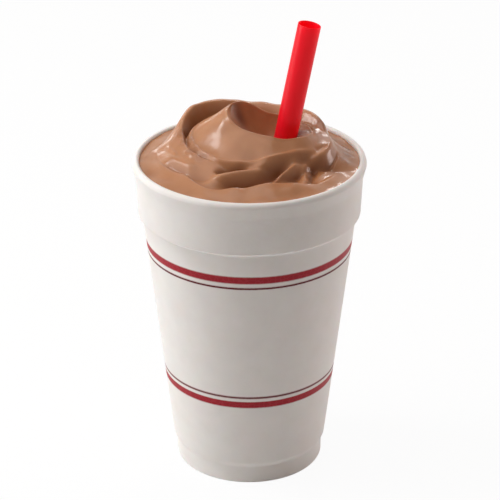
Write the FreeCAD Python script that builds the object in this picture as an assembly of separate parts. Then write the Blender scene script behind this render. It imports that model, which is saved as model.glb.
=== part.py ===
import FreeCAD, Part
import math
import os

# A chocolate milkshake: a foam cup, the shake heaped over its lip in one spiral fold, and a
# straw that leans in a hollow of the shake and stands on the cup's floor.
# Millimetres, +Z up. The origin is on the table, on the cup's axis. +X is the side that the
# straw leans to and -Y is the front.

# Cup, outside: a foot, a tapered body and the collar that a lid clips over. Insets are
# measured inwards from the rim, and the foot's from the bottom of the body.
CUP_HEIGHT = 130.9
RIM_RADIUS = 46.0
LIP_BEAD_RADIUS = 1.4
COLLAR_HEIGHT = 21.0
COLLAR_TOP_INSET = 1.3
COLLAR_BOTTOM_INSET = 1.9
COLLAR_CHAMFER = 2.0
COLLAR_FLARE_HEIGHT = 5.6
BODY_TOP_INSET = 3.7
BODY_BOTTOM_RADIUS = 30.9
FOOT_INSET = 1.3
FOOT_HEIGHT = 7.6
FOOT_STEP = 2.2
FOOT_EDGE_RADIUS = 0.8

# Cup, inside and underneath.
WALL = 2.2
FLOOR = 3.2
RECESS_DEPTH = 3.0
FOOT_RING_WIDTH = 3.4

# Straw: a plain tube. Where it stands in the mouth, and how it leans.
STRAW_LENGTH = 180.5
STRAW_RADIUS = 4.5
STRAW_WALL = 0.35
STRAW_LEAN = 10.9
STRAW_LEAN_BACK = 1.0
STRAW_IN_MOUTH = (12.8, 2.6)

# The shake keeps this far from the cup and the straw, and the straw from the cup's floor.
FIT_GAP = 0.1

# The shake's surface. Plan distances are shares of the mouth's radius, so that the fold fills
# any mouth, and heights are millimetres from the lip's top. Angles are degrees from +X,
# counted towards the back.
HEAP_ROOM = 40.0
GRID_STEP = 1.2
GRID_MARGIN = 5.0
SURFACE_DEGREE = 3

# The bed: how far below the lip it meets the wall, as angle, drop, and how it crowns inwards.
WALL_DROP = ((0, 1.5), (90, 1.2), (150, 1.3), (200, 1.9), (270, 1.9), (330, 1.7))
CROWN_RISE = 2.4
CROWN_SHARE = 0.35

# Low ring near the wall: angle, distance, rise. It is a bell, steep on its inner side, with a
# dip behind it.
RING = ((0, 0.88, 0.3), (90, 0.88, 0.1), (185, 0.83, 0.8), (228, 0.765, 1.6),
        (290, 0.785, 1.6), (330, 0.87, 0.6))

RING_WIDTH_OUT = 5.0
RING_WIDTH_IN = 1.6
RING_DIP_SHARE = 0.9
RING_DIP_WIDTH = 2.4

# Outer fold about the axis: angle, distance, height, and its outer slope's width and fullness:
# 1 for a straight slope, 2 for a quarter of an ellipse.
OUTER_FOLD = ((5, 0.715, 7.4, 4.0, 2), (20, 0.70, 9.8, 4.5, 2), (35, 0.685, 11.8, 6.0, 2),
              (65, 0.63, 11.8, 10.5, 2), (112, 0.62, 13.9, 10.5, 2), (138, 0.66, 13.9, 7.0, 1.9),
              (150, 0.675, 11.4, 5.5, 1.7), (160, 0.66, 8.7, 9.0, 1.25), (172, 0.615, 6.8, 13.0, 1.1),
              (208, 0.54, 5.3, 11.0, 1.1), (236, 0.49, 4.4, 8.5, 1.3), (255, 0.50, 2.4, 6.5, 2),
              (300, 0.53, 3.0, 5.5, 2), (320, 0.555, 3.8, 5.0, 2), (335, 0.655, 6.0, 4.0, 2),
              (350, 0.71, 7.0, 4.0, 2))
OUTER_SLOPE_IN = ((60, 1.4), (140, 2.2), (230, 0.8), (320, 0.15))
CREST_ROUNDING = 1.2
VALLEY = ((0, 5.0), (90, 5.1), (140, 4.1), (170, 2.1), (200, 1.2), (270, -0.4), (320, 2.2))

# The hollow round the straw: its centre, and its lip as angle, distance, height.
HOLLOW_CENTRE = (0.185, 0.035)
HOLLOW_BOTTOM = 5.4
HOLLOW_LIP = ((5, 0.38, 8.9), (42, 0.33, 10.8), (73, 0.28, 12.0), (106, 0.25, 14.1),
              (142, 0.29, 19.2), (158, 0.34, 19.4), (178, 0.385, 17.2), (208, 0.32, 14.6),
              (260, 0.26, 12.3), (316, 0.315, 11.1))

# The ribbon that winds up to the peak: its outer edge about the hollow, as angle, distance,
# height, height of its foot.
RIBBON_EDGE = ((12, 0.46, 8.4, 3.6), (75, 0.40, 9.9, 4.6), (115, 0.365, 14.0, 3.6),
               (149, 0.365, 18.0, 2.6), (158, 0.50, 14.0, 1.6), (172, 0.70, 8.6, 1.9),
               (188, 0.76, 5.8, 2.1), (213, 0.72, 4.8, 0.6), (235, 0.58, 5.0, 0.1),
               (263, 0.50, 5.6, 0.1), (295, 0.44, 7.2, 1.4), (330, 0.47, 7.4, 3.0))
RIBBON_WALL = 2.6
RIBBON_MIN_WIDTH = 1.0
RIBBON_STRAIGHT_SHARE = 0.55
BOWL_REACH = 1.2

# How far the folds round into each other, and how steeply a fold dives under its foot.
FOLD_BLEND = 0.8
LIP_BLEND = 0.3
DIVE = 4.0

# Sizes that follow from the ones above.
COLLAR_TOP_RADIUS = RIM_RADIUS - COLLAR_TOP_INSET
COLLAR_BOTTOM_RADIUS = RIM_RADIUS - COLLAR_BOTTOM_INSET
BODY_TOP_RADIUS = RIM_RADIUS - BODY_TOP_INSET
FOOT_RADIUS = BODY_BOTTOM_RADIUS - FOOT_INSET
COLLAR_BOTTOM_Z = CUP_HEIGHT - COLLAR_HEIGHT
BODY_TOP_Z = COLLAR_BOTTOM_Z - COLLAR_CHAMFER
BODY_BOTTOM_Z = FOOT_HEIGHT + FOOT_STEP
LIP_CENTRE_Z = CUP_HEIGHT - LIP_BEAD_RADIUS
COLLAR_TOP_Z = LIP_CENTRE_Z - COLLAR_FLARE_HEIGHT
MOUTH_RADIUS = RIM_RADIUS - 2 * LIP_BEAD_RADIUS
FLOOR_Z = RECESS_DEPTH + FLOOR
RECESS_RADIUS = FOOT_RADIUS - FOOT_RING_WIDTH
BORE = ((FOOT_RADIUS - WALL, FLOOR_Z), (BODY_TOP_RADIUS - WALL, BODY_TOP_Z),
        (MOUTH_RADIUS, LIP_CENTRE_Z))


def bore_radius(z):
    """Inner radius of the cup at height z: one cone up the body, a wider one in the collar."""
    (low, low_z), (high, high_z) = BORE[:2] if z < BORE[1][1] else BORE[1:]
    return low + (z - low_z) / (high_z - low_z) * (high - low)


def revolve(edges):
    """Solid of revolution about Z of a closed outline in the XZ plane."""
    face = Part.Face(Part.Wire(edges))
    return face.revolve(FreeCAD.Vector(0, 0, 0), FreeCAD.Vector(0, 0, 1), 360)


def lines(points):
    """Straight edges through (radius, height) points."""
    corners = [FreeCAD.Vector(r, 0, z) for r, z in points]
    return [Part.LineSegment(a, b).toShape() for a, b in zip(corners, corners[1:])]


def quarter(centre, radius, start):
    """Quarter circle of an outline, counted from +X towards +Z, from a start angle."""
    turns = [math.radians(start + step) for step in (0, 45, 90)]
    spots = [FreeCAD.Vector(centre[0] + radius * math.cos(t), 0, centre[1] + radius * math.sin(t))
             for t in turns]
    return Part.Arc(*spots).toShape()


def make_cup():
    """Foam cup: foot ring, tapered body, lid collar and rolled lip, open at the top."""
    foot_centre = (FOOT_RADIUS - FOOT_EDGE_RADIUS, FOOT_EDGE_RADIUS)
    lip_centre = (RIM_RADIUS - LIP_BEAD_RADIUS, LIP_CENTRE_Z)
    side = [(FOOT_RADIUS, FOOT_EDGE_RADIUS), (FOOT_RADIUS, FOOT_HEIGHT),
            (BODY_BOTTOM_RADIUS, BODY_BOTTOM_Z), (BODY_TOP_RADIUS, BODY_TOP_Z),
            (COLLAR_BOTTOM_RADIUS, COLLAR_BOTTOM_Z), (COLLAR_TOP_RADIUS, COLLAR_TOP_Z),
            (RIM_RADIUS, LIP_CENTRE_Z)]
    inside = list(reversed(BORE)) + [(0, FLOOR_Z), (0, RECESS_DEPTH), (RECESS_RADIUS, RECESS_DEPTH),
                                     (RECESS_RADIUS, 0), (foot_centre[0], 0)]
    return revolve([quarter(foot_centre, FOOT_EDGE_RADIUS, 270)] + lines(side)
                   + [quarter(lip_centre, LIP_BEAD_RADIUS, turn) for turn in (0, 90)]
                   + lines(inside))


def straw_line():
    """The straw's foot on the floor and its unit direction, foot to top."""
    lean = math.tan(math.radians(STRAW_LEAN))
    back = math.tan(math.radians(STRAW_LEAN_BACK))
    way = FreeCAD.Vector(lean, back, 1.0).normalize()
    low_edge = STRAW_RADIUS * math.sqrt(1.0 - way.z ** 2)
    foot_z = FLOOR_Z + FIT_GAP + low_edge
    rise = CUP_HEIGHT - foot_z
    foot = FreeCAD.Vector(STRAW_IN_MOUTH[0] - lean * rise, STRAW_IN_MOUTH[1] - back * rise, foot_z)
    return foot, way


def make_straw():
    """Open tube along the straw's line."""
    foot, way = straw_line()
    outside = Part.makeCylinder(STRAW_RADIUS, STRAW_LENGTH, foot, way)
    bore = Part.makeCylinder(STRAW_RADIUS - STRAW_WALL, STRAW_LENGTH, foot, way)
    return outside.cut(bore)


def around(angle, stations, column):
    """Smooth periodic curve through the stations' values at their angles, by Hermite cubics
    whose tangents are the weighted mean of the two chords, eased at each peak."""
    count = len(stations)
    turn = angle % 360.0
    after = 0
    while after < count and stations[after][0] <= turn:
        after += 1
    spots = [(stations[k % count][0] + 360.0 * (k // count), stations[k % count][column])
             for k in range(after - 2, after + 2)]
    chords = [(b[1] - a[1]) / (b[0] - a[0]) for a, b in zip(spots, spots[1:])]
    tangents = []
    for k in (1, 2):
        before = spots[k][0] - spots[k - 1][0]
        behind = spots[k + 1][0] - spots[k][0]
        mean = (chords[k - 1] * behind + chords[k] * before) / (before + behind)
        tangents.append(mean * (0.35 if chords[k - 1] * chords[k] <= 0 else 1.0))
    span = spots[2][0] - spots[1][0]
    t = (turn - spots[1][0]) / span
    return ((2 * t ** 3 - 3 * t ** 2 + 1) * spots[1][1] + (t ** 3 - 2 * t ** 2 + t) * span * tangents[0]
            + (3 * t ** 2 - 2 * t ** 3) * spots[2][1] + (t ** 3 - t ** 2) * span * tangents[1])


def clamp(value, low=0.0, high=1.0):
    """The value held between low and high."""
    return max(low, min(high, value))


def ease(value):
    """Smooth step from 0 to 1."""
    t = clamp(value)
    return t * t * (3 - 2 * t)


def higher(a, b, blend):
    """The larger of two heights, with the seam between them rounded over the blend."""
    t = clamp(0.5 + 0.5 * (a - b) / blend)
    return b + (a - b) * t + blend * t * (1 - t)


def shoulder(share, power=2.0):
    """Rounded drop from 1 to 0, flat at first and steep at the end."""
    return (1.0 - clamp(share) ** power) ** (1.0 / power)


def bed_height(r, angle):
    """Shake below the folds: lowest at the wall, crowned inwards, with a low ring on it."""
    distance = around(angle, RING, 1) * MOUTH_RADIUS
    rise = around(angle, RING, 2)
    off = r - distance
    width = RING_WIDTH_OUT if off > 0 else RING_WIDTH_IN
    crown = CROWN_RISE * ease((MOUTH_RADIUS - r) / (CROWN_SHARE * MOUTH_RADIUS))
    dip = RING_DIP_SHARE * rise * ease(-off / RING_DIP_WIDTH)
    return crown - around(angle, WALL_DROP, 1) + rise * math.exp(-(off / width) ** 2) - dip


def outer_fold_height(r, angle):
    """The big turn: a rounded slope outside its crest, a steeper one inside, to a valley."""
    distance = around(angle, OUTER_FOLD, 1) * MOUTH_RADIUS
    crest = around(angle, OUTER_FOLD, 2)
    width = around(angle, OUTER_FOLD, 3)
    foot = -around(angle, WALL_DROP, 1)
    off = r - distance
    if off > 0:
        power = around(angle, OUTER_FOLD, 4)
        return foot + (crest - foot) * shoulder(off / width, power) - DIVE * max(off / width - 1, 0)
    drop = around(angle, OUTER_SLOPE_IN, 1) * (math.hypot(off, CREST_ROUNDING) - CREST_ROUNDING)
    return max(crest - drop, around(angle, VALLEY, 1))


def ribbon_height(x, y):
    """The inner turn: a bowl round the straw, its lip, the ribbon outside it and its wall."""
    u = x - HOLLOW_CENTRE[0] * MOUTH_RADIUS
    v = y - HOLLOW_CENTRE[1] * MOUTH_RADIUS
    distance = math.hypot(u, v)
    angle = math.degrees(math.atan2(v, u))
    lip = around(angle, HOLLOW_LIP, 1) * MOUTH_RADIUS
    lip_z = around(angle, HOLLOW_LIP, 2)
    edge = max(around(angle, RIBBON_EDGE, 1) * MOUTH_RADIUS, lip + RIBBON_MIN_WIDTH)
    edge_z = around(angle, RIBBON_EDGE, 2)
    foot_z = around(angle, RIBBON_EDGE, 3)
    if distance > edge:
        share = (distance - edge) / RIBBON_WALL
        return foot_z + (edge_z - foot_z) * shoulder(share) - DIVE * max(share - 1, 0)
    t = clamp((distance - lip) / (edge - lip))
    fall = RIBBON_STRAIGHT_SHARE * t + (1 - RIBBON_STRAIGHT_SHARE) * ease(t)
    top = lip_z + (edge_z - lip_z) * fall
    bowl = HOLLOW_BOTTOM + (lip_z - HOLLOW_BOTTOM) * min(distance / lip, BOWL_REACH) ** 2
    return -higher(-top, -bowl, LIP_BLEND)


def shake_height(x, y):
    """Height of the shake's surface over the table at a point of the plan."""
    r = math.hypot(x, y)
    angle = math.degrees(math.atan2(y, x))
    folds = higher(bed_height(r, angle), outer_fold_height(r, angle), FOLD_BLEND)
    return CUP_HEIGHT + higher(folds, ribbon_height(x, y), FOLD_BLEND)


def surface_over_mouth():
    """Cubic B-spline surface whose poles are the shake's heights on an even square grid."""
    cells = 2 * int(math.ceil((MOUTH_RADIUS + GRID_MARGIN) / GRID_STEP))
    spots = [GRID_STEP * (k - cells / 2) for k in range(cells + 1)]
    poles = [[FreeCAD.Vector(x, y, shake_height(x, y)) for y in spots] for x in spots]
    knots = [float(k) for k in range(len(spots) - SURFACE_DEGREE + 1)]
    repeats = [SURFACE_DEGREE + 1] + [1] * (len(knots) - 2) + [SURFACE_DEGREE + 1]
    surface = Part.BSplineSurface()
    surface.buildFromPolesMultsKnots(poles, repeats, repeats, knots, knots, False, False,
                                     SURFACE_DEGREE, SURFACE_DEGREE)
    return surface.toShape()


def make_shake():
    """The shake: the cup's inside up to the folded surface, cut round the straw."""
    low_z = FLOOR_Z + FIT_GAP
    high_z = CUP_HEIGHT + HEAP_ROOM
    low_r = bore_radius(low_z) - FIT_GAP
    lip_r = bore_radius(LIP_CENTRE_Z) - FIT_GAP
    middle_r = bore_radius(BODY_TOP_Z) - FIT_GAP
    column = revolve(lines([(0, low_z), (low_r, low_z), (middle_r, BODY_TOP_Z),
                            (lip_r, LIP_CENTRE_Z), (lip_r, high_z), (0, high_z), (0, low_z)]))
    above = surface_over_mouth().extrude(FreeCAD.Vector(0, 0, high_z))
    foot, way = straw_line()
    start = foot - way * (2 * STRAW_RADIUS)
    well = Part.makeCylinder(STRAW_RADIUS + FIT_GAP, STRAW_LENGTH + 2 * STRAW_RADIUS, start, way)
    return column.cut(above).cut(well)


def main():
    """Build each piece and write it to its own file."""
    os.makedirs("parts", exist_ok=True)
    pieces = {"foam_cup": make_cup(), "milkshake": make_shake(), "straw": make_straw()}
    for name, shape in pieces.items():
        box = shape.BoundBox
        print(name, len(shape.Solids), shape.isValid(), round(shape.Volume),
              [round(v, 2) for v in (box.XMin, box.YMin, box.ZMin, box.XMax, box.YMax, box.ZMax)])
        shape.exportStep("parts/" + name + ".step")


main()
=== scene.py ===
"""Looks of a chocolate milkshake in a white foam cup with a red straw.

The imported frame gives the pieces' places. Shapes are worked out in millimetres, in the
frame's own axes (+Z up, +X to the side that the straw leans to, -Y to the front), and
turned to metres when a mesh is made.
"""
import logging
import math
from dataclasses import dataclass
from enum import Enum

import bpy
import numpy as np
from bpy.types import Material, Node, NodeOutputs, NodeSocket, NodeTree, Object
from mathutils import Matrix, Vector


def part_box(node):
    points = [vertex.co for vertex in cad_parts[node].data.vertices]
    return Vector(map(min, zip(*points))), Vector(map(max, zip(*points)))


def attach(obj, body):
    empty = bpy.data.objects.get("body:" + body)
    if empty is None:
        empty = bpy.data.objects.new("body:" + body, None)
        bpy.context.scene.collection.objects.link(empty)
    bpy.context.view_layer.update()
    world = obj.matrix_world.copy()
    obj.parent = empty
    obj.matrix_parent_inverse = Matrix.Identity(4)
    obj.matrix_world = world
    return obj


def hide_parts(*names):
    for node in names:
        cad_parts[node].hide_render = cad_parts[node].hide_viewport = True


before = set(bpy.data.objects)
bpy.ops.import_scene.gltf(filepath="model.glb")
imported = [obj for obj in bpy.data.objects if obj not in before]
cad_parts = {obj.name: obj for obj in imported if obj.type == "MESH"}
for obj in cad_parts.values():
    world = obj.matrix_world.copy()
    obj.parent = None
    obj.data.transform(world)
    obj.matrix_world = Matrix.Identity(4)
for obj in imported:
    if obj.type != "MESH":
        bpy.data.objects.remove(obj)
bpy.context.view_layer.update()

LOG = logging.getLogger("milkshake")
MM = 0.001
Stations = tuple[tuple[float, ...], ...]
# share of a curve's tangent kept where its values turn back
TURN_BACK_SHARE = 0.35
# a profile turns at a corner only if it turns by more than this, in radians
LEAST_TURN = 0.01


# ---- small tools

def linear(colour: str) -> tuple[float, float, float, float]:
    """Turn an sRGB hex colour to linear light.

    Args:
        colour: six hex digits after a hash.

    Returns:
        Red, green, blue and an alpha of 1, each from 0 to 1.
    """
    parts = [int(colour[i:i + 2], 16) / 255 for i in (1, 3, 5)]
    light = [((p + 0.055) / 1.055) ** 2.4 if p > 0.04045 else p / 12.92 for p in parts]
    return (*light, 1.0)


def add_node(tree: NodeTree, kind: str, inputs: dict | None = None,
             **settings: object) -> Node:
    """Add a node, set it up and link it.

    Args:
        tree: the node tree that gets it.
        kind: the node's type name after "ShaderNode".
        inputs: socket name or number to a constant, or to the output socket to link.
        settings: the node's own properties.

    Returns:
        The new node.
    """
    node = tree.nodes.new("ShaderNode" + kind)
    for name, value in settings.items():
        setattr(node, name, value)
    for name, value in (inputs or {}).items():
        if isinstance(value, NodeSocket):
            tree.links.new(value, node.inputs[name])
        else:
            node.inputs[name].default_value = value
    return node


def noise(tree: NodeTree, place: NodeSocket, size: float, detail: float = 2.0,
          warp: float = 0.0) -> NodeSocket:
    """Add noise from 0 to 1 at a place; size is the length of its waves in millimetres."""
    return add_node(tree, "TexNoise",
                    {"Vector": place, "Scale": 1 / (size * MM), "Detail": detail,
                     "Distortion": warp}).outputs["Fac"]


def remap(tree: NodeTree, share: object, low: object, high: object) -> NodeSocket:
    """Add a map from a share of 0 to 1 to the values low to high; each may be a socket."""
    return add_node(tree, "MapRange", {"Value": share, "To Min": low, "To Max": high}).outputs[0]


def mix(tree: NodeTree, share: object, first: object, second: object) -> NodeSocket:
    """Add a mix of two colours, the second's share given; each may be a socket."""
    return add_node(tree, "Mix", {"Factor": share, "A": first, "B": second},
                    data_type="RGBA").outputs["Result"]


def new_material(name: str) -> tuple[Material, NodeTree]:
    """Make a material with an empty node tree.

    Args:
        name: the material's name.

    Returns:
        The material and its node tree.
    """
    material = bpy.data.materials.new(name)
    material.use_nodes = True
    material.node_tree.nodes.clear()
    return material, material.node_tree


def make_mesh(name: str, points: np.ndarray, faces: np.ndarray) -> Object:
    """Make a smooth-shaded object from arrays, at the origin.

    Args:
        name: the object's name.
        points: vertices in millimetres, shape (n, 3).
        faces: vertex numbers, shape (m, 4); a triangle repeats its last corner.

    Returns:
        The object, linked to the scene.
    """
    triangle = faces[:, 2] == faces[:, 3]
    sizes = np.where(triangle, 3, 4)
    corners = faces[np.arange(4)[None, :] < sizes[:, None]]
    starts = np.concatenate([[0], np.cumsum(sizes)[:-1]])
    mesh = bpy.data.meshes.new(name)
    mesh.vertices.add(len(points))
    mesh.vertices.foreach_set("co", (points * MM).astype(np.float32).ravel())
    mesh.loops.add(len(corners))
    mesh.loops.foreach_set("vertex_index", corners.astype(np.int32))
    mesh.polygons.add(len(faces))
    mesh.polygons.foreach_set("loop_start", starts.astype(np.int32))
    mesh.polygons.foreach_set("use_smooth", np.ones(len(faces), dtype=bool))
    mesh.update(calc_edges=True)
    mesh.validate()
    thing = bpy.data.objects.new(name, mesh)
    bpy.context.scene.collection.objects.link(thing)
    return thing


def shell_faces(rows: int, columns: int) -> np.ndarray:
    """Faces of a closed shell: rings of points between a first and a last pole.

    The points are the first pole, then each ring in turn, then the last pole.

    Args:
        rows: number of rings.
        columns: points in each ring.

    Returns:
        Vertex numbers, shape (m, 4), with the pole fans as triangles.
    """
    here = np.arange(columns)
    beyond = (here + 1) % columns
    ring = 1 + columns * np.arange(rows - 1)[:, None]
    sides = np.stack([ring + here, ring + beyond, ring + columns + beyond,
                      ring + columns + here], axis=-1).reshape(-1, 4)
    last = 1 + columns * (rows - 1)
    first_fan = np.stack([np.zeros_like(here), 1 + beyond, 1 + here, 1 + here], axis=-1)
    pole = np.full_like(here, last + columns)
    last_fan = np.stack([pole, last + here, last + beyond, last + beyond], axis=-1)
    return np.concatenate([first_fan, sides, last_fan])


def rounded(corners: tuple[tuple[float, float, float], ...], spacing: float) -> np.ndarray:
    """Run a profile through corners rounded by arcs, with even points between.

    A corner's arc touches both of its runs at radius * tan(half the turn) from it.

    Args:
        corners: (radius from the axis, height, rounding radius) of each corner.
        spacing: the longest step between points.

    Returns:
        Points along the profile, shape (n, 2).
    """
    spots = [np.array(corner[:2], dtype=float) for corner in corners]
    path = [spots[0]]
    for before, spot, after, corner in zip(spots, spots[1:], spots[2:], corners[1:]):
        way_in = (spot - before) / np.linalg.norm(spot - before)
        way_out = (after - spot) / np.linalg.norm(after - spot)
        turn = math.acos(float(np.clip(way_in @ way_out, -1, 1)))
        if corner[2] > 0 and turn > LEAST_TURN:
            reach = corner[2] * math.tan(turn / 2)
            count = max(2, math.ceil(corner[2] * turn / spacing))
            side = np.sign(way_in[0] * way_out[1] - way_in[1] * way_out[0])
            centre = spot - way_in * reach + side * corner[2] * np.array([-way_in[1], way_in[0]])
            arm = spot - way_in * reach - centre
            angles = side * turn * np.arange(count + 1) / count
            path += [centre + np.array([arm[0] * math.cos(a) - arm[1] * math.sin(a),
                                        arm[0] * math.sin(a) + arm[1] * math.cos(a)])
                     for a in angles]
        else:
            path.append(spot)
    path.append(spots[-1])
    filled = [path[0]]
    for start, end in zip(path, path[1:]):
        count = max(1, math.ceil(float(np.linalg.norm(end - start)) / spacing))
        filled += [start + (end - start) * k / count for k in range(1, count + 1)]
    return np.array(filled)


def around(angle: np.ndarray, stations: Stations, column: int) -> np.ndarray:
    """Smooth periodic curve through stations, by Hermite cubics.

    Each tangent is the mean of the chords on both sides, weighted towards the shorter, and
    is eased where the values turn back.

    Args:
        angle: degrees, any shape.
        stations: rows that start with an angle from 0 to 360, in rising order.
        column: which value of the rows to follow.

    Returns:
        The values at the angles.
    """
    spots = np.array([row[0] for row in stations])
    values = np.array([row[column] for row in stations])
    spots = np.concatenate([spots - 360, spots, spots + 360])
    values = np.tile(values, 3)
    spans = np.diff(spots)
    chords = np.diff(values) / spans
    tangents = np.zeros_like(values)
    tangents[1:-1] = (chords[:-1] * spans[1:] + chords[1:] * spans[:-1]) / (spans[1:] + spans[:-1])
    tangents[1:-1] *= np.where(chords[:-1] * chords[1:] <= 0, TURN_BACK_SHARE, 1.0)
    turn = np.mod(angle, 360.0)
    k = np.clip(np.searchsorted(spots, turn, side="right") - 1, 0, len(spans) - 1)
    t = (turn - spots[k]) / spans[k]
    rise = 3 * t ** 2 - 2 * t ** 3
    lean_in = (t ** 3 - 2 * t ** 2 + t) * tangents[k]
    lean_out = (t ** 3 - t ** 2) * tangents[k + 1]
    return (1 - rise) * values[k] + rise * values[k + 1] + spans[k] * (lean_in + lean_out)


def ease(value: np.ndarray) -> np.ndarray:
    """Smooth step: 3t^2 - 2t^3 with t held between 0 and 1."""
    t = np.clip(value, 0.0, 1.0)
    return t * t * (3 - 2 * t)


def higher(a: np.ndarray, b: np.ndarray, blend: np.ndarray | float) -> np.ndarray:
    """The larger of two heights, with the seam filled by a parabola as wide as the blend."""
    t = np.clip(0.5 + 0.5 * (a - b) / blend, 0.0, 1.0)
    return b + (a - b) * t + blend * t * (1 - t)


def lower(a: np.ndarray, b: np.ndarray, blend: np.ndarray | float) -> np.ndarray:
    """The smaller of two heights, with the edge between them rounded over the blend."""
    return -higher(-a, -b, blend)


def shoulder(share: np.ndarray, power: np.ndarray | float) -> np.ndarray:
    """Rounded drop (1 - s^p)^(1/p): 1 at share 0, 0 at share 1, steepest at its end."""
    return (1.0 - np.clip(share, 0.0, 1.0) ** power) ** (1.0 / power)


# ---- finishes

@dataclass(frozen=True)
class FoamFinish:
    """Expanded polystyrene, steam-moulded: matt white, with faint outlines of its beads.

    The dark red bands are offset-printed ink, which soaks unevenly into the bead gaps.
    """

    foam: str = "#E9E7E4"
    foam_shade: str = "#DFDCD8"
    ink: str = "#9A1322"
    ink_worn: str = "#AC2A36"
    ink_thin: str = "#5E161C"
    rough: float = 0.52
    rough_ink: float = 0.50
    bead_mm: float = 1.9
    gap_share: float = 0.12
    # share of worn ink in the middle of a bead gap and out on the bead
    wear: tuple[float, float] = (0.75, 0.1)
    mottle_mm: float = 9.0
    # bands narrower than this take the thin ink; an edge's softness, its wander, the waves' length
    thin_mm: float = 1.5
    edge_mm: float = 0.12
    creep_mm: float = 0.16
    creep_scale_mm: float = 1.2

    def material(self, bands: tuple[tuple[float, float], ...]) -> Material:
        """Build the cup's material.

        Args:
            bands: lowest and highest height of each printed band, in millimetres, rising.

        Returns:
            The material.
        """
        material, tree = new_material("printed_eps_foam")
        place = add_node(tree, "TexCoord").outputs["Object"]
        beads = add_node(tree, "TexVoronoi", {"Vector": place, "Scale": 1 / (self.bead_mm * MM)},
                         feature="DISTANCE_TO_EDGE").outputs["Distance"]
        gaps = add_node(tree, "MapRange", {"Value": beads, "From Max": self.gap_share}).outputs[0]
        foam = mix(tree, noise(tree, place, self.mottle_mm, 3.0),
                   linear(self.foam_shade), linear(self.foam))
        wear = remap(tree, gaps, *self.wear)
        printed = mix(tree, wear, linear(self.ink), linear(self.ink_worn))
        mask = self.band_mask(tree, place, bands)
        printed = mix(tree, mask["Green"], printed, linear(self.ink_thin))
        relief = add_node(tree, "Bump", {"Height": gaps, "Strength": 0.22, "Distance": 0.05 * MM})
        shader = add_node(tree, "BsdfPrincipled", {
            "Base Color": mix(tree, mask["Red"], foam, printed),
            "Roughness": remap(tree, mask["Red"], self.rough, self.rough_ink),
            "Normal": relief.outputs[0], "IOR": 1.45, "Specular IOR Level": 0.25,
            "Subsurface Weight": 0.15, "Subsurface Scale": 1.5 * MM})
        add_node(tree, "OutputMaterial", {"Surface": shader.outputs[0]})
        return material

    def band_mask(self, tree: NodeTree, place: NodeSocket,
                  bands: tuple[tuple[float, float], ...]) -> NodeOutputs:
        """Mark the printed bands by height: red on every band, green on the thin ones too.

        A colour ramp over the height holds one soft-edged step for each band. Noise moves
        the height a little first, as ink creeps along the beads.

        Args:
            tree: the material's node tree.
            place: the Object coordinates.
            bands: lowest and highest height of each band, in millimetres.

        Returns:
            The outputs Red and Green, each from 0 off the bands to 1 on them.
        """
        creep = noise(tree, place, self.creep_scale_mm)
        height = add_node(tree, "SeparateXYZ", {"Vector": place}).outputs["Z"]
        shift = add_node(tree, "Math", {0: creep, 1: self.creep_mm * MM, 2: height},
                         operation="MULTIPLY_ADD").outputs[0]
        margin = 5.0
        low = bands[0][0] - margin
        high = bands[-1][1] + margin
        share = add_node(tree, "MapRange",
                         {"Value": shift, "From Min": low * MM, "From Max": high * MM})
        ramp = add_node(tree, "ValToRGB", {"Fac": share.outputs[0]})
        stops = [(spot, value, value * (top - bottom < self.thin_mm)) for bottom, top in bands
                 for spot, value in ((bottom - self.edge_mm, 0), (bottom + self.edge_mm, 1),
                                     (top - self.edge_mm, 1), (top + self.edge_mm, 0))]
        ramp.color_ramp.elements.remove(ramp.color_ramp.elements[1])
        ramp.color_ramp.elements[0].color = (0, 0, 0, 1)
        for spot, value, thin in stops:
            stop = ramp.color_ramp.elements.new((spot - low) / (high - low))
            stop.color = (value, thin, 0, 1)
        return add_node(tree, "SeparateColor", {"Color": ramp.outputs["Color"]}).outputs


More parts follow.
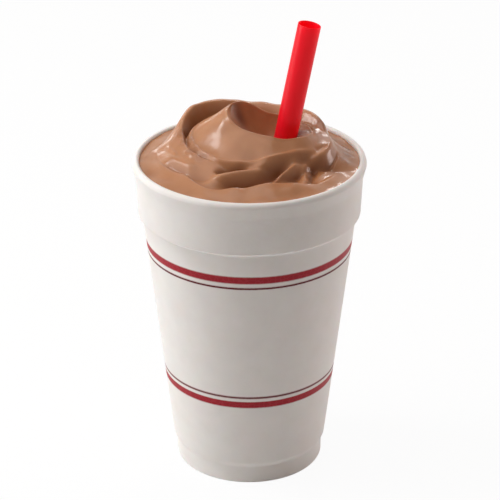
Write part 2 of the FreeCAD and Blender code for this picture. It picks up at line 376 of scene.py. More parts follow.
@dataclass(frozen=True)
class ShakeFinish:
    """Soft-serve chocolate milkshake: opaque milk foam, moist, wetter in its channels."""

    cocoa: str = "#B17B52"
    cocoa_dark: str = "#9F6A45"
    # dark colour of wet places and of the painted shade in hollows and creases
    wet_and_shaded_cocoa: str = "#6A381D"
    rough: float = 0.40
    rough_spread: float = 0.08
    rough_wet: float = 0.12
    # shine and coat in the open, and what is left of both in the hollows
    shine: float = 0.30
    coat: float = 0.42
    shine_hollow: float = 0.05
    soak_wet: float = 0.3
    swirl_mm: float = 11.0
    patch_mm: float = 5.0
    grain_mm: float = 0.9

    def material(self) -> Material:
        """Build the shake's material from noise and the mesh's "wet" and "hollow" attributes.

        Wet places are a little darker. The "hollow" attribute paints shade into the base colour of
        the hollows, creases and the spot under the peak, and takes away shine and coat there.

        Returns:
            The material.
        """
        material, tree = new_material("chocolate_milkshake")
        place = add_node(tree, "TexCoord").outputs["Object"]
        wet = add_node(tree, "Attribute", attribute_name="wet").outputs["Fac"]
        hollow = add_node(tree, "Attribute", attribute_name="hollow").outputs["Fac"]
        body = mix(tree, noise(tree, place, self.swirl_mm, 4.0, 1.2),
                   linear(self.cocoa_dark), linear(self.cocoa))
        # share of that dark colour: part of the wetness, plus all of the painted shade
        wet_and_painted_shade = add_node(tree, "Math", {0: wet, 1: self.soak_wet, 2: hollow},
                        operation="MULTIPLY_ADD", use_clamp=True).outputs[0]
        dry = add_node(tree, "MapRange",
                       {"Value": noise(tree, place, self.patch_mm, 3.0),
                        "From Min": 0.3, "From Max": 0.7,
                        "To Min": self.rough - self.rough_spread,
                        "To Max": self.rough + self.rough_spread}).outputs[0]
        relief = add_node(tree, "Bump",
                          {"Height": noise(tree, place, self.grain_mm), "Strength": 0.25,
                           "Distance": 0.06 * MM})
        shader = add_node(tree, "BsdfPrincipled", {
            "Base Color": mix(tree, wet_and_painted_shade, body, linear(self.wet_and_shaded_cocoa)),
            "Roughness": remap(tree, wet, dry, self.rough_wet),
            "Normal": relief.outputs[0], "IOR": 1.38,
            "Specular IOR Level": remap(tree, hollow, self.shine, self.shine_hollow),
            "Coat Weight": remap(tree, hollow, self.coat, self.shine_hollow),
            "Coat Roughness": 0.12, "Coat IOR": 1.36, "Subsurface Weight": 0.25,
            "Subsurface Radius": (1.0, 0.45, 0.25), "Subsurface Scale": 1.6 * MM})
        add_node(tree, "OutputMaterial", {"Surface": shader.outputs[0]})
        return material


@dataclass(frozen=True)
class StrawFinish:
    """Extruded polypropylene, dyed red: smooth and thin enough to let light through."""

    red: str = "#F41E36"
    glow: str = "#FF3350"
    clearness: float = 0.45
    rough: tuple[float, float] = (0.26, 0.36)
    streak_mm: float = 6.0

    def material(self) -> Material:
        """Build the straw's material.

        Returns:
            The material.
        """
        material, tree = new_material("red_polypropylene")
        place = add_node(tree, "TexCoord").outputs["Object"]
        streaks = noise(tree, place, self.streak_mm, 1.0)
        shader = add_node(tree, "BsdfPrincipled", {
            "Base Color": linear(self.red), "Roughness": remap(tree, streaks, *self.rough),
            "IOR": 1.49, "Specular IOR Level": 0.35})
        through = add_node(tree, "BsdfTranslucent", {"Color": linear(self.glow)})
        mixed = add_node(tree, "MixShader",
                         {0: self.clearness, 1: shader.outputs[0], 2: through.outputs[0]})
        add_node(tree, "OutputMaterial", {"Surface": mixed.outputs[0]})
        return material


# ---- sub-assemblies

@dataclass
class FoamCup:
    """The cup: foot, tapered body, lid collar and rolled lip, with two printed band pairs.

    Sizes are in millimetres.
    """

    height: float
    rim_radius: float
    lip_bead: float = 1.4
    collar_height: float = 21.8
    collar_top_radius: float = 44.7
    collar_bottom_radius: float = 44.1
    collar_chamfer: float = 1.4
    body_top_radius: float = 42.3
    body_bottom_radius: float = 30.9
    foot_radius: float = 29.6
    foot_height: float = 7.6
    foot_step: float = 2.2
    wall: float = 2.2
    floor: float = 3.2
    recess: float = 3.0
    foot_ring: float = 3.4
    # fineness of the mesh: columns round the axis, longest step along the profile
    segments: int = 256
    spacing: float = 1.2
    # lowest and highest height of each printed band
    bands: tuple[tuple[float, float], ...] = (
        (37.3, 40.2), (41.7, 42.6), (92.8, 93.7), (95.4, 98.5))

    def bore_radius(self, z: np.ndarray | float) -> np.ndarray | float:
        """Inner radius at a height: two cones, then the lip's bead.

        The bead's circle has its inner side at centre - sqrt(bead^2 - rise^2).

        Args:
            z: heights in millimetres.

        Returns:
            The radii.
        """
        lip_z = self.height - self.lip_bead
        body_z = self.height - self.collar_height - self.collar_chamfer
        middle = self.rim_radius - self.lip_bead
        cones = np.interp(z, (self.recess + self.floor, body_z, lip_z),
                          (self.foot_radius - self.wall, self.body_top_radius - self.wall,
                           middle - self.lip_bead))
        rise = np.clip(z - lip_z, 0, self.lip_bead)
        return cones + self.lip_bead - np.sqrt(self.lip_bead ** 2 - rise ** 2)

    def profile(self) -> np.ndarray:
        """Profile from the middle of the underside, round the outside, to the inner floor.

        Returns:
            (radius, height) points in millimetres, shape (n, 2).
        """
        collar_z = self.height - self.collar_height
        floor_z = self.recess + self.floor
        inner = self.rim_radius - 2 * self.lip_bead
        lip_z = self.height - self.lip_bead
        ring = self.foot_radius - self.foot_ring
        return rounded((
            (0.0, self.recess, 0), (ring, self.recess, 0.8), (ring, 0.0, 0.6),
            (self.foot_radius, 0.0, 0.8), (self.foot_radius, self.foot_height, 1.6),
            (self.body_bottom_radius, self.foot_height + self.foot_step, 1.6),
            (self.body_top_radius, collar_z - self.collar_chamfer, 0.5),
            (self.collar_bottom_radius, collar_z, 0.45),
            (self.collar_top_radius, lip_z - 5.6, 8.0), (self.rim_radius, lip_z - 0.6, 1.2),
            (self.rim_radius, self.height, self.lip_bead * 1.25),
            (inner, self.height, self.lip_bead * 0.73), (inner, lip_z, 0.3),
            (self.body_top_radius - self.wall, collar_z - self.collar_chamfer, 4.0),
            (self.foot_radius - self.wall, floor_z, 2.5), (0.0, floor_z, 0)), self.spacing)

    def build(self) -> Object:
        """Turn the profile about the axis: x = r cos a, y = r sin a.

        Returns:
            The cup's object.
        """
        profile = self.profile()
        angle = np.linspace(0, 2 * math.pi, self.segments, endpoint=False)
        ring = profile[1:-1]
        radius = ring[:, :1] * np.ones_like(angle)
        height = ring[:, 1:] * np.ones_like(angle)
        body = np.stack([radius * np.cos(angle), radius * np.sin(angle), height], axis=-1)
        poles = np.array([[0, 0, profile[0, 1]], [0, 0, profile[-1, 1]]])
        points = np.concatenate([poles[:1], body.reshape(-1, 3), poles[1:]])
        cup = make_mesh("printed_foam_cup", points, shell_faces(len(ring), self.segments))
        cup.data.materials.append(FoamFinish().material(self.bands))
        return cup


@dataclass(frozen=True)
class Fold:
    """A ridge or crease drawn over the shake: its line in plan, its height and half width."""

    line: tuple[tuple[float, float], ...]
    rise: float
    width: float
    # share of the line over which each end fades; pieces it is cut in; passes that round it
    taper: float = 0.3
    pieces: int = 24
    passes: int = 3

    def offset(self, x: np.ndarray, y: np.ndarray) -> np.ndarray:
        """Height that the fold adds: rise * exp(-(distance / width)^2), eased in from its ends.

        Args:
            x: plan places in millimetres.
            y: the same.

        Returns:
            The added height, in millimetres.
        """
        knots = np.array(self.line)
        lengths = np.concatenate([[0], np.cumsum(np.linalg.norm(np.diff(knots, axis=0), axis=1))])
        stops = np.linspace(0, lengths[-1], self.pieces + 1)
        path = np.stack([np.interp(stops, lengths, knots[:, k]) for k in (0, 1)], axis=1)
        for _ in range(self.passes):
            path[1:-1] = (path[:-2] + path[1:-1] + path[2:]) / 3
        run = np.diff(path, axis=0)
        off_x = x[..., None] - path[:-1, 0]
        off_y = y[..., None] - path[:-1, 1]
        along = np.clip((off_x * run[:, 0] + off_y * run[:, 1]) / (run ** 2).sum(axis=1), 0, 1)
        gaps = np.hypot(off_x - along * run[:, 0], off_y - along * run[:, 1])
        nearest = gaps.argmin(axis=-1)[..., None]
        share = (nearest + np.take_along_axis(along, nearest, axis=-1))[..., 0] / len(run)
        fade = ease(np.minimum(share, 1 - share) / self.taper)
        return self.rise * fade * np.exp(-(gaps.min(axis=-1) / self.width) ** 2)


@dataclass
class Milkshake:
    """The shake: one solid that fills the cup and stands over its lip in a spiral fold.

    Plan places are millimetres from the cup's axis, heights are millimetres over the lip's
    top, and angles are degrees from +X, counted towards the back.
    """

    cup: FoamCup
    # fineness of the mesh: columns round the axis, rings over the mouth and down the wall
    columns: int = 440
    rows: int = 214
    wall_rows: int = 9
    # gaps to the cup: at the surface's edge, at the wall and over the floor
    edge_gap: float = 0.02
    wall_gap: float = 0.1
    floor_gap: float = 0.1
    # how far below the lip the shake meets the wall: angle, drop
    drop: Stations = (
        (0, 1.6), (60, 1.2), (120, 0.9), (150, 1.2), (200, 1.9), (270, 1.9), (330, 1.8))
    # the bed under the folds: where it starts to rise inwards, its run and its rise
    bed_slope: tuple[float, float, float] = (43.2, 14.0, 2.4)
    # low ring near the wall: angle, distance, rise
    ring: Stations = (
        (0, 37.5, 0.15), (90, 38.0, 0.1), (150, 37.5, 0.2), (195, 35.6, 0.9), (216, 32.2, 1.0),
        (232, 34.0, 1.0), (243, 35.5, 1.0), (262, 33.2, 1.2), (288, 30.8, 1.3), (300, 33.0, 1.2),
        (311, 35.8, 0.8), (330, 37.5, 0.3))
    # the ring's half widths outside and inside its crest; the dip behind it: share, run
    ring_widths: tuple[float, float] = (5.0, 1.6)
    ring_dip: tuple[float, float] = (1.1, 2.2)
    # outer fold about the axis: angle, distance, height, outer width and fullness, inner slope
    outer: Stations = (
        (5, 31.0, 7.2, 3.2, 1.9, 0.2), (13, 30.2, 8.0, 3.2, 1.9, 0.6),
        (20, 30.4, 10.0, 3.2, 1.9, 1.0), (35, 29.7, 11.8, 5.0, 1.9, 1.2),
        (65, 27.3, 11.8, 10, 1.9, 1.4), (90, 26.2, 12.2, 11, 1.9, 1.6),
        (112, 26.7, 13.9, 10, 1.9, 1.9), (138, 28.6, 14.2, 6.5, 1.9, 2.2),
        (150, 29.2, 11.6, 5.0, 1.7, 2.2), (160, 28.4, 8.9, 8.0, 1.3, 2.1),
        (172, 26.5, 7.0, 13.0, 1.1, 1.8), (185, 25.3, 6.2, 13.0, 1.1, 1.5),
        (211, 23.1, 5.4, 11.0, 1.1, 1.1), (236, 21.3, 4.4, 8.5, 1.3, 0.8),
        (255, 21.5, 2.2, 6.5, 1.9, 0.5), (280, 22.0, 2.2, 5.5, 1.9, 0.3),
        (300, 22.5, 2.6, 5.0, 1.9, 0.2), (318, 23.5, 3.2, 5.0, 1.9, 0.15),
        (328, 25.0, 4.4, 4.0, 1.9, 0.15), (333, 27.6, 5.6, 3.0, 1.9, 0.15),
        (339, 29.6, 6.5, 3.0, 1.9, 0.15), (347, 30.6, 6.8, 3.0, 1.9, 0.15),
        (355, 31.2, 7.0, 3.0, 1.9, 0.15))
    # rounding of the outer fold's crest; share of its shoulder kept, and the slope after it
    crest_rounding: float = 1.2
    shoulder_share: float = 0.97
    shoulder_slope: float = 3.8
    # floor of the groove inside the outer fold: angle, height
    groove: Stations = (
        (0, 5.0), (90, 5.1), (140, 3.6), (170, 1.6), (200, 1.6), (270, -0.4), (300, 1.2),
        (320, 2.2), (340, 4.0))
    # hollow round the straw: centre, bottom, and its lip as angle, distance, height
    hollow: tuple[float, float, float] = (8.0, 1.5, 5.4)
    lip: Stations = (
        (5, 16.5, 8.9), (25, 16.0, 9.3), (42, 14.2, 10.9), (73, 12.0, 12.2), (106, 10.9, 14.4),
        (127, 11.9, 17.2), (142, 12.8, 19.8), (158, 14.6, 20.0), (178, 16.7, 17.6),
        (193, 16.0, 16.0), (208, 13.9, 14.8), (232, 11.5, 13.7), (260, 11.2, 12.5),
        (286, 12.0, 11.8), (316, 13.7, 11.3), (342, 15.5, 10.7))
    # waves of the bowl's bend that are kept; beads on the lip and the edge: height, half width
    bowl_waves: int = 3
    lip_bead: tuple[float, float] = (0.42, 0.65)
    edge_bead: tuple[float, float] = (0.5, 0.6)
    # share of the edge's bead at angles, and how far inside the edge it runs
    bead_share: Stations = ((0, 0.0), (120, 0.3), (180, 1.0), (240, 1.0), (290, 1.0), (320, 0.2))
    bead_inset: float = 0.7
    # share of the ribbon's drop that is even; the rest is eased
    even_share: float = 0.55
    # how softly the folds meet the bed, the ribbon its wall, the bowl its lip, the groove
    bed_blend: float = 0.8
    wall_blend: float = 0.5
    lip_blend: float = 0.35
    groove_blend: float = 0.6
    # how softly the ribbon meets the outer fold: angle, blend
    ribbon_blend: Stations = ((0, 2.5), (40, 1.2), (90, 0.8), (180, 0.5), (260, 0.6), (320, 1.0))
    # small waves everywhere and ripples where it is wet: length, rise
    waves: Stations = ((11, 0.09),) * 4 + ((7, 0.03),) * 4
    ripples: Stations = ((3.6, 0.05),) * 4 + ((2.2, 0.025),) * 4
    seed: int = 7
    # wet places: x, y, reach, wetness
    wet_spots: Stations = (
        (-24.5, 0.0, 3.0, 1.0), (-22.5, -7.5, 2.6, 1.0), (-18.5, -12.5, 2.3, 1.0),
        (-26.5, 6.0, 2.5, 1.0), (24.0, 8.0, 4.0, 1.0), (20.0, 6.0, 3.5, 1.0),
        (28.5, 11.0, 3.5, 1.0), (38.3, 2.0, 2.4, 1.0), (37.3, -5.0, 2.0, 1.0),
        (38.8, 8.0, 2.6, 1.0), (-12.7, -6.0, 5.0, 0.12))
    # painted shadow under the peak's overhang: x, y, reach
    painted_shadow_spot: tuple[float, float, float] = (-3.9, 5.2, 3.6)
    # ribbon's outer edge: x, y, height, height of its foot, steepness of its wall
    ribbon: Stations = (
        (-5.5, 9.8, 18.8, 2.6, 2.4), (-8.9, 8.9, 17.4, 2.1, 2.2), (-12.6, 9.4, 14.7, 1.6, 2.0),
        (-17.2, 8.6, 12.1, 1.6, 2.0), (-21.9, 6.6, 9.6, 1.6, 1.8), (-23.6, 3.4, 7.7, 1.6, 1.8),
        (-22.4, -3.6, 6.1, 2.2, 1.6), (-20.0, -8.0, 5.6, 3.0, 1.4), (-16.6, -12.2, 5.4, 2.6, 1.4),
        (-12.2, -16.9, 5.3, 0.4, 1.6), (-6.9, -18.8, 5.3, 0.1, 1.8), (0.0, -19.6, 5.5, 0.1, 1.8),
        (5.5, -19.2, 6.1, 0.2, 1.6), (11.0, -17.2, 7.0, 1.0, 1.4), (15.8, -15.4, 7.6, 1.4, 2.0),
        (20.5, -13.0, 7.6, 1.4, 2.2), (24.5, -10.0, 7.4, 1.5, 1.2), (27.0, -4.0, 7.5, 3.0, 0.7),
        (27.5, 2.0, 7.8, 3.6, 0.7), (27.0, 7.0, 8.2, 3.6, 0.8), (22.0, 14.5, 8.1, 3.6, 1.0),
        (13.0, 18.0, 9.6, 4.6, 1.0), (4.0, 17.5, 11.1, 4.6, 1.2), (-0.5, 14.5, 14.8, 3.6, 1.8))
    # pleats and creases: at the front, round the right lobe, on the left apron, on the bed
    folds: tuple[Fold, ...] = (
        Fold(((-20.0, -26.5), (-9.0, -24.6), (-0.4, -22.8), (7.0, -20.6), (13.0, -17.5)), 2.3, 2.0),
        Fold(((-14.5, -20.4), (-8.0, -21.5), (0.5, -20.8)), -2.3, 1.1),
        Fold(((-14.0, -28.2), (-1.0, -27.6), (5.0, -25.2), (10.5, -21.5),
               (17.5, -15.5)), -2.6, 1.6),
        Fold(((9.5, -26.5), (13.4, -22.4), (16.2, -19.6), (20.5, -15.0)), 2.0, 1.7),
        Fold(((15.0, -26.5), (17.6, -22.6), (19.8, -18.5)), -0.8, 1.3),
        Fold(((21.8, -26.5), (21.1, -20.5), (22.4, -14.5)), 1.3, 1.5, 0.2),
        Fold(((24.4, -26.5), (23.8, -20.5), (25.8, -14.0)), -1.1, 1.3, 0.2),
        Fold(((25.0, -10.0), (30.6, -4.2)), -0.6, 1.1),
        Fold(((34.2, -0.5), (33.2, -7.1), (30.9, -12.2), (27.6, -14.4), (24.6, -13.4)), -1.3, 1.0),
        Fold(((-32.5, 3.0), (-31.0, -1.5), (-27.8, -7.8)), 0.45, 0.8),
        Fold(((-33.4, -3.3), (-30.1, -8.0), (-26.8, -12.4), (-22.8, -16.2),
               (-19.7, -20.8)), 0.8, 1.8),
        Fold(((-33.0, -8.5), (-28.3, -14.4), (-24.0, -20.3)), -0.6, 1.5),
        Fold(((-25.6, -5.5), (-21.3, -12.6)), 0.4, 0.7),
        Fold(((5.0, -35.0), (12.0, -33.8), (20.0, -30.5)), 0.45, 2.2),
    )

    def bed(self, r: np.ndarray, angle: np.ndarray) -> np.ndarray:
        """Shake below the folds: level at the wall, rising inwards, with a low ring on it.

        The ring is a bell across its crest, steep on its inner side, with a dip behind it.

        Args:
            r: distances from the axis.
            angle: degrees about the axis.

        Returns:
            Heights over the lip's top.
        """
        distance = around(angle, self.ring, 1)
        rise = around(angle, self.ring, 2)
        off = r - distance
        width = np.where(off > 0, *self.ring_widths)
        reach, run, climb = self.bed_slope
        level = climb * ease((reach - r) / run) - around(angle, self.drop, 1)
        dip, dip_run = self.ring_dip
        return level + rise * np.exp(-(off / width) ** 2) - dip * rise * ease(-off / dip_run)

    def outer_fold(self, r: np.ndarray, angle: np.ndarray) -> np.ndarray:
        """The big turn: a shoulder outside its crest, a hyperbola inside it, down to a groove.

        The shoulder stops short of its upright end and goes on straight at the slope it has.

        Args:
            r: distances from the axis.
            angle: degrees about the axis.

        Returns:
            Heights over the lip's top.
        """
        distance, crest, width, power, slope = (around(angle, self.outer, k) for k in range(1, 6))
        off = r - distance
        foot = -around(angle, self.drop, 1)
        share = off / width
        out = foot + (crest - foot) * (shoulder(self.shoulder_share * np.minimum(share, 1), power)
                                       - self.shoulder_slope * np.maximum(share - 1, 0))
        rounding = self.crest_rounding
        inner = crest - slope * (np.hypot(np.minimum(off, 0), rounding) - rounding)
        inner = higher(inner, around(angle, self.groove, 1), self.groove_blend)
        return np.where(off > 0, out, inner)

    def ribbon_fold(self, x: np.ndarray, y: np.ndarray) -> np.ndarray:
        """The inner turn: a bowl round the straw, its lip, the ribbon and the ribbon's wall.

        In polar places about the hollow's centre, the bowl rises as the distance's square to
        the lip, the ribbon runs from the lip to its edge partly even and partly eased, and the
        wall drops from the edge at its own slope to its foot, and steeply past that. Each
        meeting is rounded, and a bead follows the lip and the edge.

        Args:
            x: plan places in millimetres.
            y: the same.

        Returns:
            Heights over the lip's top.
        """
        middle_x, middle_y, bottom = self.hollow
        edge_angle = [math.degrees(math.atan2(row[1] - middle_y, row[0] - middle_x)) % 360
                      for row in self.ribbon]
        edge_rows = tuple(sorted(
            (turn, math.hypot(row[0] - middle_x, row[1] - middle_y), *row[2:])
            for turn, row in zip(edge_angle, self.ribbon)))
        distance = np.hypot(x - middle_x, y - middle_y)
        angle = np.degrees(np.arctan2(y - middle_y, x - middle_x))
        lip, lip_z = (around(angle, self.lip, k) for k in (1, 2))
        edge, edge_z, foot_z, steep = (around(angle, edge_rows, k) for k in (1, 2, 3, 4))
        least_ribbon, foot_run, foot_slope, past_edge, past_lip = 1.0, 3.0, 4.0, 1.6, 1.25
        edge = np.maximum(edge, lip + least_ribbon)
        t = (distance - lip) / (edge - lip)
        even = self.even_share
        top = lip_z + (edge_z - lip_z) * (even * np.clip(t, 0, past_edge) + (1 - even) * ease(t))
        wall = edge_z - (distance - edge) * steep
        wall = np.maximum(wall, foot_z - foot_slope * np.maximum(distance - edge - foot_run, 0))
        bowl = bottom + self.bowl_bend(angle) * np.minimum(distance, past_lip * lip) ** 2
        bead, width = self.lip_bead
        lip_line = bead * np.exp(-((distance - lip) / width) ** 2)
        bead, width = self.edge_bead
        edge_line = np.exp(-((distance - edge + self.bead_inset) / width) ** 2)
        edge_line = bead * around(angle, self.bead_share, 1) * edge_line
        ribbon = lower(lower(top, wall, self.wall_blend), bowl, self.lip_blend)
        return ribbon + lip_line + edge_line

    def bowl_bend(self, angle: np.ndarray) -> np.ndarray:
        """How sharply the bowl rises: the rise to the lip over its distance squared.

        Only the first waves about the centre are kept, so that no crease runs down the bowl.

        Args:
            angle: degrees about the hollow's centre.

        Returns:
            The bend, per millimetre.
        """
        turns = np.arange(0.0, 360.0, 5.0)
        bend = (around(turns, self.lip, 2) - self.hollow[2]) / around(turns, self.lip, 1) ** 2
        waves = np.fft.rfft(bend) / len(turns)
        turn = np.radians(angle)
        parts = [2 * (waves[k] * np.exp(1j * k * turn)).real
                 for k in range(1, self.bowl_waves + 1)]
        return waves[0].real + sum(parts)

    def height(self, x: np.ndarray, y: np.ndarray) -> np.ndarray:
        """Height of the surface over the lip's top at places of the plan.

        Args:
            x: plan places in millimetres.
            y: the same.

        Returns:
            Heights over the lip's top.
        """
        r = np.hypot(x, y)
        angle = np.degrees(np.arctan2(y, x))
        base = higher(self.bed(r, angle), self.outer_fold(r, angle), self.bed_blend)
        surface = higher(base, self.ribbon_fold(x, y), around(angle, self.ribbon_blend, 1))
        return surface + sum(fold.offset(x, y) for fold in self.folds) + self.unevenness(x, y)

    def unevenness(self, x: np.ndarray, y: np.ndarray) -> np.ndarray:
        """Small seeded waves, each a sine across the plan in a direction and phase of its own.

        The short ripples are only where the surface is wet.

        Args:
            x: plan places in millimetres.
            y: the same.

        Returns:
            The height that they add.
        """
        dice = np.random.default_rng(self.seed)
        total = np.zeros_like(x)
        for waves, share in ((self.waves, 1.0), (self.ripples, self.wetness(x, y))):
            for length, rise in waves:
                turn, phase = dice.uniform(0, 2 * math.pi, 2)
                stretch = length * dice.uniform(0.8, 1.25)
                along = (x * math.cos(turn) + y * math.sin(turn)) / stretch
                total += share * rise * np.sin(2 * math.pi * along + phase)
        return total

    def wetness(self, x: np.ndarray, y: np.ndarray) -> np.ndarray:
        """How wet the surface is, 0 to 1: most in the left groove and right of the straw."""
        wet = sum(share * np.exp(-((x - spot_x) ** 2 + (y - spot_y) ** 2) / reach ** 2)
                  for spot_x, spot_y, reach, share in self.wet_spots)
        return np.clip(wet, 0, 1)

    def painted_shade_share(self, x: np.ndarray, y: np.ndarray) -> np.ndarray:
        """How much painted shade a place gets, 0 to 1: how deep it lies among its surroundings.

        On an even square grid it is the largest of three shares. One is the mean height of
        neighbours in eight ways, less the place's own height, over the full depth. The next is
        the mean, over eight ways, of the sine of the steepest climb seen that way, counted
        from a small climb on. The last is a bell of painted shadow under the peak's overhang.
        Three passes of a mean over nine points soften it, and between grid points it is
        bilinear. The share is painted into the shake's colour as shade.

        Args:
            x: plan places in millimetres.
            y: the same.

        Returns:
            The depth's share.
        """
        step, full_depth, tallest = 0.5, 2.6, 16.0
        small_climb, full_climb, passes = 0.22, 0.80, 3
        near_reaches, climb_reaches = (3, 6, 10), (2, 3, 6, 10, 16)
        half = math.ceil(self.cup.rim_radius / step) + climb_reaches[-1] + 2
        line = step * np.arange(-half, half + 1)
        level = self.height(*np.meshgrid(line, line, indexing="ij"))
        low = np.minimum(level, tallest)
        ways = [(a, b) for a in (-1, 0, 1) for b in (-1, 0, 1) if a or b]
        near = [np.roll(low, (reach * a, reach * b), (0, 1))
                for reach in near_reaches for a, b in ways]
        depth = np.clip((sum(near) / len(near) - low) / full_depth, 0, 1)
        climb = np.zeros_like(level)
        for a, b in ways:
            seen = [(np.roll(level, (reach * a, reach * b), (0, 1)) - level)
                    / (reach * step * math.hypot(a, b)) for reach in climb_reaches]
            steepest = np.maximum(np.max(seen, axis=0), 0)
            climb += steepest / np.hypot(1, steepest) / len(ways)
        steepness = (climb - small_climb) / (full_climb - small_climb)
        depth = np.maximum(depth, np.clip(steepness, 0, 1))
        shadow_x, shadow_y, shadow_reach = self.painted_shadow_spot
        off = np.hypot(line[:, None] - shadow_x, line[None, :] - shadow_y)
        depth = np.maximum(depth, np.exp(-(off / shadow_reach) ** 2))
        for _ in range(passes):
            depth = (depth + sum(np.roll(depth, way, (0, 1)) for way in ways)) / 9
        u, v = x / step + half, y / step + half
        i, j = u.astype(int), v.astype(int)
        s, t = u - i, v - j
        return ((depth[i, j] * (1 - s) + depth[i + 1, j] * s) * (1 - t)
                + (depth[i, j + 1] * (1 - s) + depth[i + 1, j + 1] * s) * t)

    def build(self) -> Object:
        """Sheet of rings over the mouth, then down the cup's wall and across its floor.

        Ring points are at (r cos a, r sin a) with the height above.

        Returns:
            The shake's object.
        """
        lip_z = self.cup.height
        angle = np.linspace(0, 2 * math.pi, self.columns, endpoint=False)
        edge_z = lip_z - around(np.degrees(angle), self.drop, 1)
        edge = self.cup.bore_radius(edge_z) - self.edge_gap
        radius = edge * np.linspace(0, 1, self.rows + 1)[1:, None]
        x = radius * np.cos(angle)
        y = radius * np.sin(angle)
        top = np.stack([x, y, lip_z + self.height(x, y)], axis=-1)
        low = self.cup.recess + self.cup.floor + self.floor_gap
        share = np.linspace(0, 1, self.wall_rows + 1)[1:, None]
        depth = top[-1, :, 2] * (1 - share) + low * share
        side_r = self.cup.bore_radius(depth) - self.wall_gap
        side = np.stack([side_r * np.cos(angle), side_r * np.sin(angle), depth], axis=-1)
        axis = np.zeros(1)
        middle = lip_z + float(self.height(axis, axis)[0])
        points = np.concatenate([[[0, 0, middle]], top.reshape(-1, 3), side.reshape(-1, 3),
                                 [[0, 0, low]]])
        # the points start at the top, so each face is turned over
        faces = shell_faces(self.rows + self.wall_rows, self.columns)[:, [1, 0, 3, 2]]
        shake = make_mesh("folded_milkshake", points, faces)
        # "hollow" carries the painted shade share, "wet" the wetness
        for name, share in (("wet", self.wetness(x, y)), ("hollow", self.painted_shade_share(x, y))):
            values = np.zeros(len(points), dtype=np.float32)
            values[1:1 + x.size] = share.ravel()
            shake.data.attributes.new(name, "FLOAT", "POINT").data.foreach_set("value", values)
        shake.data.materials.append(ShakeFinish().material())
        return shake


@dataclass
class Straw:
    """A plain tube that leans in the hollow and stands on the cup's floor."""

    cup: FoamCup
    length: float = 180.5
    radius: float = 4.5
    wall: float = 0.35
    # lean in degrees to the right and to the back; place of its axis at the lip's height
    lean: float = 10.9
    lean_back: float = 1.0
    in_mouth: tuple[float, float] = (12.8, 2.6)
    # gap over the cup's floor; rounding of the cut ends as a share of the wall
    gap: float = 0.1
    cut_share: float = 0.49
    segments: int = 96
    spacing: float = 3.0

    def build(self) -> Object:
        """Carry a ring along the line: outside up, over the cut end, inside down.

        Returns:
            The straw's object.
        """
        slopes = np.tan(np.radians([self.lean, self.lean_back]))
        way = np.array([*slopes, 1.0])
        way /= np.linalg.norm(way)
        floor_z = self.cup.recess + self.cup.floor + self.gap
        foot_z = floor_z + self.radius * math.sqrt(1 - way[2] ** 2)
        rise = self.cup.height - foot_z
        foot = np.array([*(np.array(self.in_mouth) - slopes * rise), foot_z])
        bore = self.radius - self.wall
        soft = self.cut_share * self.wall
        profile = rounded(((bore, self.length / 2, 0), (bore, 0.0, soft), (self.radius, 0.0, soft),
                           (self.radius, self.length, soft), (bore, self.length, soft),
                           (bore, self.length / 2, 0)), self.spacing)[:-1]
        side = np.cross(way, [0.0, 1.0, 0.0])
        side /= np.linalg.norm(side)
        front = np.cross(way, side)
        angle = np.linspace(0, 2 * math.pi, self.segments, endpoint=False)[None, :, None]
        spoke = np.cos(angle) * side + np.sin(angle) * front
        points = foot + profile[:, 1, None, None] * way + profile[:, 0, None, None] * spoke
        rows, here = np.arange(len(profile))[:, None], np.arange(self.segments)
        beyond = (here + 1) % self.segments
        nxt = (rows + 1) % len(profile)
        faces = np.stack(np.broadcast_arrays(
            rows * self.segments + here, rows * self.segments + beyond,
            nxt * self.segments + beyond, nxt * self.segments + here), axis=-1).reshape(-1, 4)
        straw = make_mesh("red_straw", points.reshape(-1, 3), faces)
        straw.data.materials.append(StrawFinish().material())
        return straw


# ---- studio

class Lamp(Enum):
    """The soft boxes: place in metres, width and height in metres, watts, colour."""

    KEY = ((-0.85, 0.02, 0.40), (0.50, 0.80), 4.5, "#FFFFFF")
    FILL = ((0.82, 0.34, 0.10), (0.35, 0.34), 3.3, "#FFF1EE")
    GLINT = ((-0.70, 0.20, 0.78), (0.21, 0.18), 2.2, "#FFFFFF")
    BACK_LEFT = ((-0.50, 0.90, 0.34), (0.13, 0.09), 0.4, "#FFFFFF")
    BACK_RIGHT = ((0.14, 0.80, 0.72), (0.20, 0.12), 1.3, "#FFFFFF")
    TOP = ((-0.20, -0.04, 0.92), (0.90, 0.80), 4.7, "#FFFFFF")


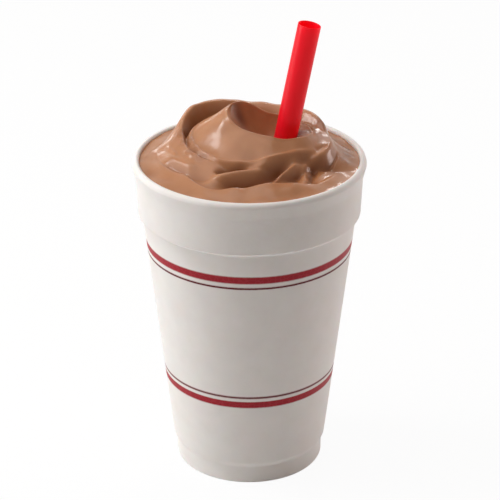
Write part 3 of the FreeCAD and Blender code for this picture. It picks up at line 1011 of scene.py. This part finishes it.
@dataclass
class Studio:
    """White sweep, soft boxes and the camera."""

    focal_mm: float = 165.6
    elevation: float = 25.62
    distance: float = 0.9182
    aim: tuple[float, float, float] = (0.00027, 0.0, 0.09034)
    lamp_aim: tuple[float, float, float] = (0.0, 0.0, 0.10)
    ambient: float = 0.13
    ambient_tint: str = "#FFDECB"
    sweep: str = "#F4F4F4"
    sweep_reach: float = 3000.0
    floor_glow: float = 0.94

    def camera(self) -> None:
        """Stand the camera on the arc in front of the cup, looking down at its middle."""
        lens = bpy.data.cameras.new("camera")
        lens.lens = self.focal_mm
        lens.sensor_width = 36.0
        lens.clip_start = 0.05
        lens.clip_end = 20.0
        tilt = math.radians(self.elevation)
        eye = Vector((0, -math.cos(tilt), math.sin(tilt))) * self.distance + Vector(self.aim)
        camera = bpy.data.objects.new("camera", lens)
        camera.location = eye
        camera.rotation_euler = (math.pi / 2 - tilt, 0, 0)
        bpy.context.scene.collection.objects.link(camera)
        bpy.context.scene.camera = camera

    def lamps(self) -> None:
        """Hang each soft box, turned to the middle of the cup."""
        target = Vector(self.lamp_aim)
        for lamp in Lamp:
            place, (width, height), power, colour = lamp.value
            light = bpy.data.lights.new(lamp.name.lower(), "AREA")
            light.shape = "RECTANGLE"
            light.size, light.size_y = width, height
            light.energy = power
            light.color = linear(colour)[:3]
            box = bpy.data.objects.new(lamp.name.lower(), light)
            box.location = place
            box.rotation_euler = (Vector(place) - target).to_track_quat("Z", "Y").to_euler()
            bpy.context.scene.collection.objects.link(box)

    def seen(self, tree: NodeTree) -> NodeSocket:
        """1 for a ray from the camera, or by way of a gloss or through glass, else 0.

        Args:
            tree: the node tree that asks.

        Returns:
            The mask's output socket.
        """
        path = add_node(tree, "LightPath").outputs
        direct = add_node(tree, "Math",
                          {0: path["Is Camera Ray"], 1: path["Is Glossy Ray"]}, operation="MAXIMUM")
        return add_node(tree, "Math", {0: direct.outputs[0], 1: path["Is Transmission Ray"]},
                        operation="MAXIMUM").outputs[0]

    def world(self) -> None:
        """White where it is seen, a plain low warm light where it only lights."""
        world = bpy.data.worlds.new("studio")
        world.use_nodes = True
        tree = world.node_tree
        tree.nodes.clear()
        seen = self.seen(tree)
        strength = remap(tree, seen, self.ambient, 1.0)
        tint = mix(tree, seen, linear(self.ambient_tint), linear("#FFFFFF"))
        sky = add_node(tree, "Background", {"Color": tint, "Strength": strength})
        add_node(tree, "OutputWorld", {"Surface": sky.outputs[0]})
        bpy.context.scene.world = world

    def floor(self) -> None:
        """Lay a wide white sweep that still takes the cup's soft shadow."""
        cells = 8
        steps = np.linspace(-self.sweep_reach, self.sweep_reach, cells + 1)
        x, y = np.meshgrid(steps, steps, indexing="ij")
        points = np.stack([x, y, np.zeros_like(x)], axis=-1).reshape(-1, 3)
        corner = (np.arange(cells)[:, None] * (cells + 1) + np.arange(cells)).ravel()
        faces = np.stack([corner, corner + cells + 1, corner + cells + 2, corner + 1], axis=-1)
        floor = make_mesh("floor", points, faces)
        material, tree = new_material("white_paper_sweep")
        shader = add_node(tree, "BsdfPrincipled", {
            "Base Color": linear(self.sweep), "Roughness": 0.9, "Specular IOR Level": 0.1})
        glow = add_node(tree, "Emission", {"Color": linear("#FFFFFF"), "Strength": 1.0})
        share = add_node(tree, "Math", {0: self.seen(tree), 1: self.floor_glow},
                         operation="MULTIPLY")
        mixed = add_node(tree, "MixShader",
                         {0: share.outputs[0], 1: shader.outputs[0], 2: glow.outputs[0]})
        add_node(tree, "OutputMaterial", {"Surface": mixed.outputs[0]})
        floor.data.materials.append(material)

    def build(self) -> None:
        """Set up the view, the light and the floor."""
        bpy.context.scene.view_settings.view_transform = "Standard"
        self.camera()
        self.lamps()
        self.world()
        self.floor()


def main() -> None:
    """Build every piece, put it on the frame and report it."""
    logging.basicConfig(level=logging.INFO, format="%(message)s")
    low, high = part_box("foam_cup")
    cup = FoamCup(height=high[2] / MM, rim_radius=(high[0] - low[0]) / 2 / MM)
    pieces = ((cup.build(), "foam_cup", "cup_foam"),
              (Milkshake(cup).build(), "milkshake", "shake"),
              (Straw(cup).build(), "straw", "straw_plastic"))
    for piece, node, slot in pieces:
        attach(piece, "root")
        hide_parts(node)
        LOG.info("%s stands for %s with %d faces", piece.name, node, len(piece.data.polygons))
    Studio().build()


if __name__ == "__main__":
    main()
